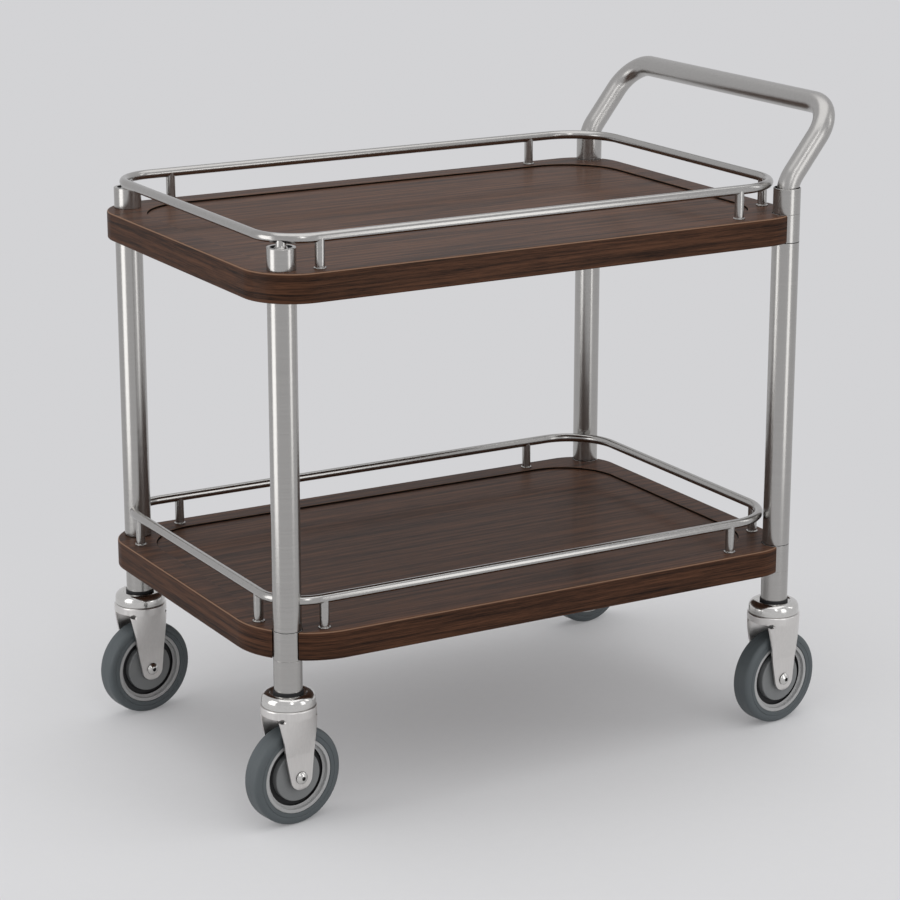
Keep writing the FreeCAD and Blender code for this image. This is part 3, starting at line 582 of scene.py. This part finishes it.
def shaded_leg_end(spot):
    return not leg_low + LEG_END_SHADE < spot.z < leg_high - LEG_END_SHADE


def at_legs(corners, lift=0.0):
    """Places on the axes of some legs, at a height."""
    return [LEG[corner] + UP * lift for corner in corners]


for corner in CORNERS:
    at_leg = Matrix.Translation(LEG[corner])
    leg = tube(LEG_RADIUS, leg_inside, leg_low, leg_high, rounding=LEG_END_ROUNDING)
    # Painted shade at both ends of the tube.
    in_second_finish(leg, shaded_leg_end)
    piece("leg_tube_" + corner, placed(leg, at_leg), (upright_steel, painted_shade_black), TROLLEY,
          STAINLESS, "leg_" + corner)
    foot = tube(LEG_RADIUS, leg_inside, FLOOR_OF_FEET, BOTTOM["lower"])
    piece("foot_" + corner, placed(foot, at_leg), upright_steel, TROLLEY, STAINLESS,
          "foot_tube_" + corner)
for tier in TIERS:
    sleeve = tube(LEG_RADIUS, ROD_HOLE_RADIUS, BOTTOM[tier], TOP[tier])
    piece(tier + "_sleeves", repeated(sleeve, at_legs(NOTCHED[tier])), upright_steel, TROLLEY,
          STAINLESS, tier + "_corner_sleeves")

# ---- collars above the upper tray --------------------------------------------------------------
COLLAR_HEIGHT = 27
COLLAR_FLOOR = 24.5
COLLAR_RIM = 13.2
COLLAR_RECESS = 12.8
OPEN_COLLAR_HEIGHT = 33
OPEN_COLLAR_INSIDE = 16.3
NECK_TOP = 35
collar = lathe([(0, 0, 0), (LEG_RADIUS, 0, 0.4), (LEG_RADIUS, COLLAR_HEIGHT, 1.2),
                (COLLAR_RIM, COLLAR_HEIGHT, 0.3), (COLLAR_RECESS, COLLAR_FLOOR, 0.3),
                (0, COLLAR_FLOOR, 0)])
# Painted shade in the collar's top recess.
in_second_finish(collar, lambda spot: spot.z > COLLAR_FLOOR - 0.5
                 and spot.xy.length < COLLAR_RECESS + 0.2)
piece("capped_collars", repeated(collar, at_legs(FREE_END, TOP["upper"])),
      (upright_steel, painted_shade_black), TROLLEY, STAINLESS, "free_end_collars")
socket = tube(LEG_RADIUS, OPEN_COLLAR_INSIDE, 0, OPEN_COLLAR_HEIGHT, rounding=0.6)
piece("open_collars", repeated(socket, at_legs(HANDLE_END, TOP["upper"])), upright_steel, TROLLEY,
      STAINLESS, "handle_collars")
neck = lathe([(0, COLLAR_FLOOR, 0), (8.6, COLLAR_FLOOR, 0), (8.4, 25.3, 0.5), (6.2, 28.0, 1.5),
              (RAIL_RADIUS, NECK_TOP, 0), (0, NECK_TOP, 0)])
piece("necks", repeated(neck, at_legs(FREE_END, TOP["upper"])), bent_steel, TROLLEY, STAINLESS,
      "rail_necks")


# ---- guard rails and posts ---------------------------------------------------------------------
# Bends of the rails, and the cut that ends the lower one just inside the skin of its legs.
RAIL_FREE_BEND = 54.63
RAIL_HANDLE_BEND = 69.87
RAIL_CUT_RADIUS = 17.4
RAIL_CUT_DEPTH = 60

# Posts: those on the long sides at distances from the free end and from the handle end, those
# on the short sides at a distance from the nearest long side.
FRONT_POSTS = (78, 99)
BACK_POSTS = (104, 121)
HANDLE_END_POST = 80
FREE_END_POST = 81
POST_RADIUS = 6
FOOT_RING_RADIUS = 7.5
COPE_RADIUS = 5.6
COPE_LIFT = 0.05


def rail_box(tier):
    """Left, right, front and back of the rail's middle line."""
    low, high = lowest(tier + "_tray_board"), highest(tier + "_tray_board")
    return low.x + RAIL_INSET, high.x - RAIL_INSET, low.y + RAIL_INSET, high.y - RAIL_INSET


def guard_rail(tier):
    """Closed loop of round bar above a tray."""
    left, right, front, back = rail_box(tier)
    along = right - left - RAIL_FREE_BEND - RAIL_HANDLE_BEND
    at_handle = ("bend", QUARTER, RAIL_HANDLE_BEND, UP)
    at_free_end = ("bend", QUARTER, RAIL_FREE_BEND, UP)
    moves = [("run", along), at_handle, ("run", back - front - 2 * RAIL_HANDLE_BEND), at_handle,
             ("run", along), at_free_end, ("run", back - front - 2 * RAIL_FREE_BEND), at_free_end]
    start = Vector((left + RAIL_FREE_BEND, front, TOP[tier] + RAIL_HEIGHT))
    return bent_bar(start, ALONG, RAIL_RADIUS, moves, loop=True)


def post(across):
    """Rail post with a foot ring. Its top is coped to the rail, whose width is along an axis."""
    top = RAIL_HEIGHT - RAIL_RADIUS
    bm = lathe([(0, 0, 0), (FOOT_RING_RADIUS, 0, 0.2), (FOOT_RING_RADIUS, 1.5, 0.5),
                (POST_RADIUS, 1.9, 0.3), (POST_RADIUS, top, 0), (POST_RADIUS - 1, top, 0),
                (0, top, 0)], steps=64)
    for point in bm.verts:
        if point.co.z > top - 1:
            rise = math.sqrt(max(0.0, COPE_RADIUS ** 2 - point.co[across] ** 2))
            point.co.z = RAIL_HEIGHT - rise + COPE_LIFT
    return bm


def rail_posts(tier):
    """All posts of one rail."""
    left, right, front, back = rail_box(tier)
    low, high = lowest(tier + "_tray_board"), highest(tier + "_tray_board")
    height = TOP[tier]
    rows = [Vector((x, y, height))
            for y, (free, handle) in ((front, FRONT_POSTS), (back, BACK_POSTS))
            for x in (low.x + free, high.x - handle)]
    ends = [Vector((right, low.y + HANDLE_END_POST, height))]
    if tier == "lower":
        ends += [Vector((left, low.y + FREE_END_POST, height)),
                 Vector((left, high.y - FREE_END_POST, height))]
    return joined([repeated(post(across=1), rows), repeated(post(across=0), ends)])


piece("upper_guard_rail", guard_rail("upper"), bent_steel, TROLLEY, STAINLESS, "upper_rail")
lower_loop = guard_rail("lower")
for spot in at_legs(FREE_END, TOP["lower"] + RAIL_HEIGHT):
    lower_loop = cut(lower_loop, prism(RAIL_CUT_RADIUS, spot, RAIL_CUT_DEPTH))
piece("lower_guard_rail", lower_loop, bent_steel, TROLLEY, STAINLESS, "lower_rail_long",
      "lower_rail_short")
for tier in TIERS:
    piece(tier + "_posts", rail_posts(tier), upright_steel, TROLLEY, STAINLESS,
          tier + "_rail_posts")

# ---- handle ------------------------------------------------------------------------------------
HANDLE_FOOT = 6
HANDLE_ELBOW = 38
HANDLE_REACH = 72.0
HANDLE_SLOPE = math.radians(52)
GRIP_BEND = 45.0


def handle_tube():
    """One bent tube: up from a collar, out over the end, across and back down."""
    lean = QUARTER - HANDLE_SLOPE
    bend_in = GRIP_BEND * math.tan(lean / 2)
    upright = HANDLE_ELBOW - HANDLE_FOOT - bend_in
    sloping = HANDLE_REACH / math.cos(HANDLE_SLOPE) - bend_in - GRIP_BEND
    across = LEG["back_right"].y - LEG["front_right"].y - 2 * GRIP_BEND
    tilt = Vector((math.sin(HANDLE_SLOPE), 0, -math.cos(HANDLE_SLOPE)))
    moves = [("run", upright), ("bend", lean, GRIP_BEND, BACKWARD),
             ("run", sloping), ("bend", QUARTER, GRIP_BEND, tilt * -1),
             ("run", across), ("bend", QUARTER, GRIP_BEND, tilt * -1),
             ("run", sloping), ("bend", lean, GRIP_BEND, BACKWARD * -1),
             ("run", upright)]
    start = LEG["front_right"] + UP * (TOP["upper"] + HANDLE_FOOT)
    return bent_bar(start, UP, GRIP_RADIUS, moves, sides=64)


piece("push_handle", handle_tube(), grip_steel, TROLLEY, STAINLESS, "handle")


# ---- casters -----------------------------------------------------------------------------------
# Heights above the floor.
CAP_BOTTOM = 150
CAP_TOP = 169.5
SEAL_SEAT = 167.6
SEAL_TOP = 171.9

# Radii and heights of the wheel bolt and its nut.
BOLT_GAP = 0.05
SHANK_RADIUS = 4
HEAD_RADIUS = 8
HEAD_HEIGHT = 5
SOCKET_RADIUS = 2.9
NUT_RADIUS = 7.5
NUT_HEIGHT = 7

# Distances from the wheel's middle plane.
ARM_OUTSIDE = 20.0
SPACER_HALF = 17
HUB_HALF = 17.2
WEB_HALF = 4
STEP_HALF = 8
RIM_HALF = 13
TYRE_HALF = 14
COVER_HALF = 12.5

# Radii in the wheel, and the lines moulded in the tyre: half their width, and their depth.
HUB_RADIUS = 10
RECESS_RADIUS = 39
STEP_RADIUS = 43
RIM_RADIUS = 47.5
WALL_LINE_RADIUS = 53
COVER_RADIUS = 32
WALL_LINE = 0.6
WALL_LINE_DEPTH = 0.7
TREAD_LINE = 0.4
TREAD_LINE_DEPTH = 0.2


def caster_cap():
    """Domed cap over the fork, with the seat of the seal."""
    return lathe([(0, CAP_BOTTOM, 0), (30.5, CAP_BOTTOM, 0), (30.5, 154, 0), (33, 154, 0.5),
                  (33, 157.5, 0.6), (32.6, CAP_TOP, 8), (23.2, CAP_TOP, 0.5),
                  (21, SEAL_SEAT, 0.4), (0, SEAL_SEAT, 0)])


def seal():
    """Ring between the cap and the foot tube."""
    return lathe([(12, SEAL_SEAT, 0), (18.5, SEAL_SEAT, 0.5), (18.5, SEAL_TOP, 0.8),
                  (12, SEAL_TOP, 0)], closed=True)


def bolt():
    """Bolt with a domed head and a hex socket, and the lock nut at its other end."""
    seat = ARM_OUTSIDE + BOLT_GAP
    head = lathe([(0, seat, 0), (HEAD_RADIUS, seat, 0.2), (HEAD_RADIUS, seat + 1.25, 0.4),
                  (4.9, seat + 4.1, 3), (0, seat + HEAD_HEIGHT, 0)], steps=64)
    head = cut(head, prism(SOCKET_RADIUS, (0, 0, seat + HEAD_HEIGHT), HEAD_HEIGHT, sides=6))
    # Painted shade round the foot of the head and in the hex socket.
    in_second_finish(head, lambda spot: spot.z < seat + 0.6
                     or spot.xy.length < SOCKET_RADIUS - 0.2 and spot.z > seat + 1)
    nut = prism(NUT_RADIUS, (0, 0, -seat - NUT_HEIGHT / 2), NUT_HEIGHT, sides=6)
    ease(nut, [edge for edge in nut.edges if edge.calc_face_angle() > CREASE], 0.5, 2)
    tip_low, tip_high = -seat - NUT_HEIGHT - 1, -seat - NUT_HEIGHT + 1
    tip = lathe([(0, tip_low, 0), (SHANK_RADIUS, tip_low, 0.6), (SHANK_RADIUS, tip_high, 0),
                 (0, tip_high, 0)], steps=48)
    spacer = lathe([(4.05, -SPACER_HALF, 0), (6.2, -SPACER_HALF, 0), (6.2, SPACER_HALF, 0),
                    (4.05, SPACER_HALF, 0)], steps=48, closed=True)
    return joined([head, nut, tip, spacer])


def wheel_centre():
    """Moulded rim with a stepped recess, a web and a hub."""
    side = [(6.25, HUB_HALF, 0), (HUB_RADIUS, HUB_HALF, 0.4), (HUB_RADIUS, WEB_HALF, 0.8),
            (RECESS_RADIUS, WEB_HALF, 0.8), (RECESS_RADIUS, STEP_HALF, 0.5),
            (STEP_RADIUS, STEP_HALF, 0.5), (STEP_RADIUS, RIM_HALF, 0.8),
            (RIM_RADIUS, RIM_HALF, 0.8)]
    centre = lathe(side + mirrored(side), steps=128, closed=True)
    # Painted shade on the web and the walls of the stepped recess.
    return in_second_finish(centre, lambda spot: abs(spot.z) < STEP_HALF - 0.1
                            and spot.xy.length < RECESS_RADIUS + 0.5)


def tyre():
    """Tyre with a fine ring in each wall, round shoulders and a line round its tread."""
    wall = [(RIM_RADIUS + 0.05, TYRE_HALF, 1.0), (WALL_LINE_RADIUS - WALL_LINE, TYRE_HALF, 0.3),
            (WALL_LINE_RADIUS, TYRE_HALF - WALL_LINE_DEPTH, 0.3),
            (WALL_LINE_RADIUS + WALL_LINE, TYRE_HALF, 0.3), (56.5, TYRE_HALF, 0),
            (WHEEL_RADIUS, TYRE_HALF, 5.8)]
    tread = [(WHEEL_RADIUS, TREAD_LINE, 0), (WHEEL_RADIUS - TREAD_LINE_DEPTH, 0, 0),
             (WHEEL_RADIUS, -TREAD_LINE, 0)]
    return lathe(wall + tread + mirrored(wall), steps=160, closed=True)


def hub_covers():
    """Two dished covers, one on each side of the web."""
    near = [(10.3, COVER_HALF, 0.2), (30.6, COVER_HALF, 0), (COVER_RADIUS, COVER_HALF, 1.6),
            (COVER_RADIUS, WEB_HALF, 0), (30, WEB_HALF, 0), (30, 10.5, 0.4), (10.3, 10.5, 0)]
    return joined([lathe(side, steps=128, closed=True) for side in (near, mirrored(near))])


def sheet_fork(corner):
    """The pressed fork, from the frame, with its points merged."""
    bm = bmesh.new()
    bm.from_mesh(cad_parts["fork_" + corner].data)
    bmesh.ops.scale(bm, vec=(1 / MM, 1 / MM, 1 / MM), verts=bm.verts[:])
    bmesh.ops.remove_doubles(bm, verts=bm.verts[:], dist=2 * MERGE)
    return bm


for corner in CORNERS:
    at_leg = Matrix.Translation(LEG[corner])
    axle = (at_leg @ Matrix.Rotation(YAW, 4, "Z") @ Matrix.Translation((TRAIL, 0, WHEEL_RADIUS))
            @ Matrix.Rotation(QUARTER, 4, "X"))
    swivel, wheel = "swivel_" + corner, "wheel_" + corner
    piece("cap_" + corner, placed(caster_cap(), at_leg), bright_steel, TROLLEY,
          "polished_stainless", "caster_head_" + corner)
    piece("pressed_fork_" + corner, sheet_fork(corner), pressed_steel, swivel,
          "polished_stainless", "fork_" + corner)
    piece("wheel_bolt_" + corner, placed(bolt(), axle), (bright_steel, painted_shade_black), swivel,
          "polished_stainless", "axle_set_" + corner)
    piece("rim_" + corner, placed(wheel_centre(), axle), (rim_plastic, painted_shade_black), wheel,
          "wheel_plastic", "wheel_core_" + corner)
    piece("tread_" + corner, placed(tyre(), axle), tyre_rubber, wheel, "tyre_rubber",
          "tyre_" + corner)
    piece("hub_" + corner, placed(hub_covers(), axle), hub_plastic, wheel, "hub_plastic",
          "hub_caps_" + corner)
piece("seals", repeated(seal(), at_legs(CORNERS)), seal_rubber, TROLLEY, "seal_rubber",
      "caster_seals")

# ---- pieces inside, as the frame has them ------------------------------------------------------
INSIDE = {"leg_end_plugs": black_nylon, "foot_sockets": black_nylon, "handle_plugs": black_nylon,
          "tie_rods": plain_steel, "upper_post_screws": plain_steel,
          "lower_post_screws": plain_steel, "swivel_races": plain_steel, "corner_dowels": beech}
for node, finish in INSIDE.items():
    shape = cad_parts[node]
    shape.data.materials.clear()
    shape.data.materials.append(finish)

# ---- floor, light and camera -------------------------------------------------------------------
# The floor goes from the first colour to the second, a little paler one, along a direction.
PALE = (0.650, 0.650, 0.665)
PALER = (0.685, 0.685, 0.700)
PALER_WAY = (-0.5, -0.87, 0.0)
FLOOR_HALF = 40
EYE = Vector((-1.79099, -3.08598, 1.37400))
AIM = Vector((-0.05174, -0.05909, 0.38725))
LENS, SENSOR = 112.84, 36.0
scene = bpy.context.scene


def floor_finish():
    """Pale floor. What sees the background sees an even pale colour with the shadow in it.

    Other rays see a lit floor that ends about 1.3 m from the middle.
    """
    ground = Finish("studio_floor")
    point = ground.add("ShaderNodeTexCoord", output="Object")
    far = ground.add("ShaderNodeVectorMath", {"operation": "LENGTH"}, {0: point}, output=1)
    near = ground.add("ShaderNodeVectorMath", {"operation": "DOT_PRODUCT"},
                      {0: point, 1: PALER_WAY}, output=1)
    speckle = ground.mix(ground.noise(point, 60.0, detail=2.0), (0.66, 0.66, 0.67),
                         (0.68, 0.68, 0.69))
    lit = ground.add("ShaderNodeBsdfDiffuse", {}, {"Color": speckle})
    sweep = ground.mix(ground.fit(near, 0.35, 1.1), PALE, PALER)
    flat = ground.add("ShaderNodeEmission", {}, {"Color": sweep})
    clear = ground.add("ShaderNodeBsdfTransparent")
    shown = ground.blend(ground.fit(far, 0.30, 1.20) * 0.8 + 0.2, lit, flat)
    lighting = ground.blend(ground.fit(far, 0.6, 1.3), lit, clear)
    both = ground.blend(ground.sees_background(), lighting, shown)
    ground.add("ShaderNodeOutputMaterial", {}, {"Surface": both})
    return ground.material


def studio_floor():
    """Large flat floor under the object."""
    bm = bmesh.new()
    bmesh.ops.create_grid(bm, x_segments=8, y_segments=8, size=FLOOR_HALF)
    mesh = bpy.data.meshes.new("floor")
    bm.to_mesh(mesh)
    bm.free()
    mesh.materials.append(floor_finish())
    floor = bpy.data.objects.new("floor", mesh)
    scene.collection.objects.link(floor)


def studio_world():
    """Even white light, behind a pale background."""
    scene.world = bpy.data.worlds.new("studio")
    studio = Finish("studio", world=scene.world)
    behind = studio.add("ShaderNodeBackground", {}, {"Color": PALE, "Strength": 1.0})
    around = studio.add("ShaderNodeBackground", {}, {"Color": (1.0, 1.0, 1.0), "Strength": 0.82})
    both = studio.blend(studio.sees_background(), around, behind)
    studio.add("ShaderNodeOutputWorld", {}, {"Surface": both})


def aimed(made, at, toward):
    """Places a lamp or the camera, looking at a point."""
    made.location = at
    made.rotation_euler = (Vector(toward) - Vector(at)).to_track_quat("-Z", "Y").to_euler()
    scene.collection.objects.link(made)


def softbox(name, at, toward, size, watts):
    """Soft lamp of a width and height in metres."""
    lamp = bpy.data.lights.new(name, "AREA")
    lamp.shape, lamp.size, lamp.size_y, lamp.energy = "RECTANGLE", size[0], size[1], watts
    made = bpy.data.objects.new(name, lamp)
    made.visible_camera = False
    aimed(made, at, toward)


scene.view_settings.view_transform = "Standard"
studio_floor()
studio_world()
softbox("key", (-0.9, -3.2, 2.4), (0, 0, 0.4), (0.55, 2.2), 9)
softbox("fill", (2.8, -1.6, 2.0), (0, 0, 0.4), (0.4, 1.8), 4)
softbox("top", (0.1, -0.1, 3.0), (0, 0, 0), (3.2, 2.8), 22)
softbox("left_strip", (-1.50, 0.0, 0.65), (0, 0, 0.65), (0.7, 1.3), 4.6)
softbox("right_strip", (0.60, -1.45, 0.65), (0, 0, 0.65), (0.5, 1.3), 2.6)
camera = bpy.data.objects.new("camera", bpy.data.cameras.new("camera"))
camera.data.lens, camera.data.sensor_width = LENS, SENSOR
camera.data.clip_end = 200
aimed(camera, EYE, AIM)
scene.camera = camera
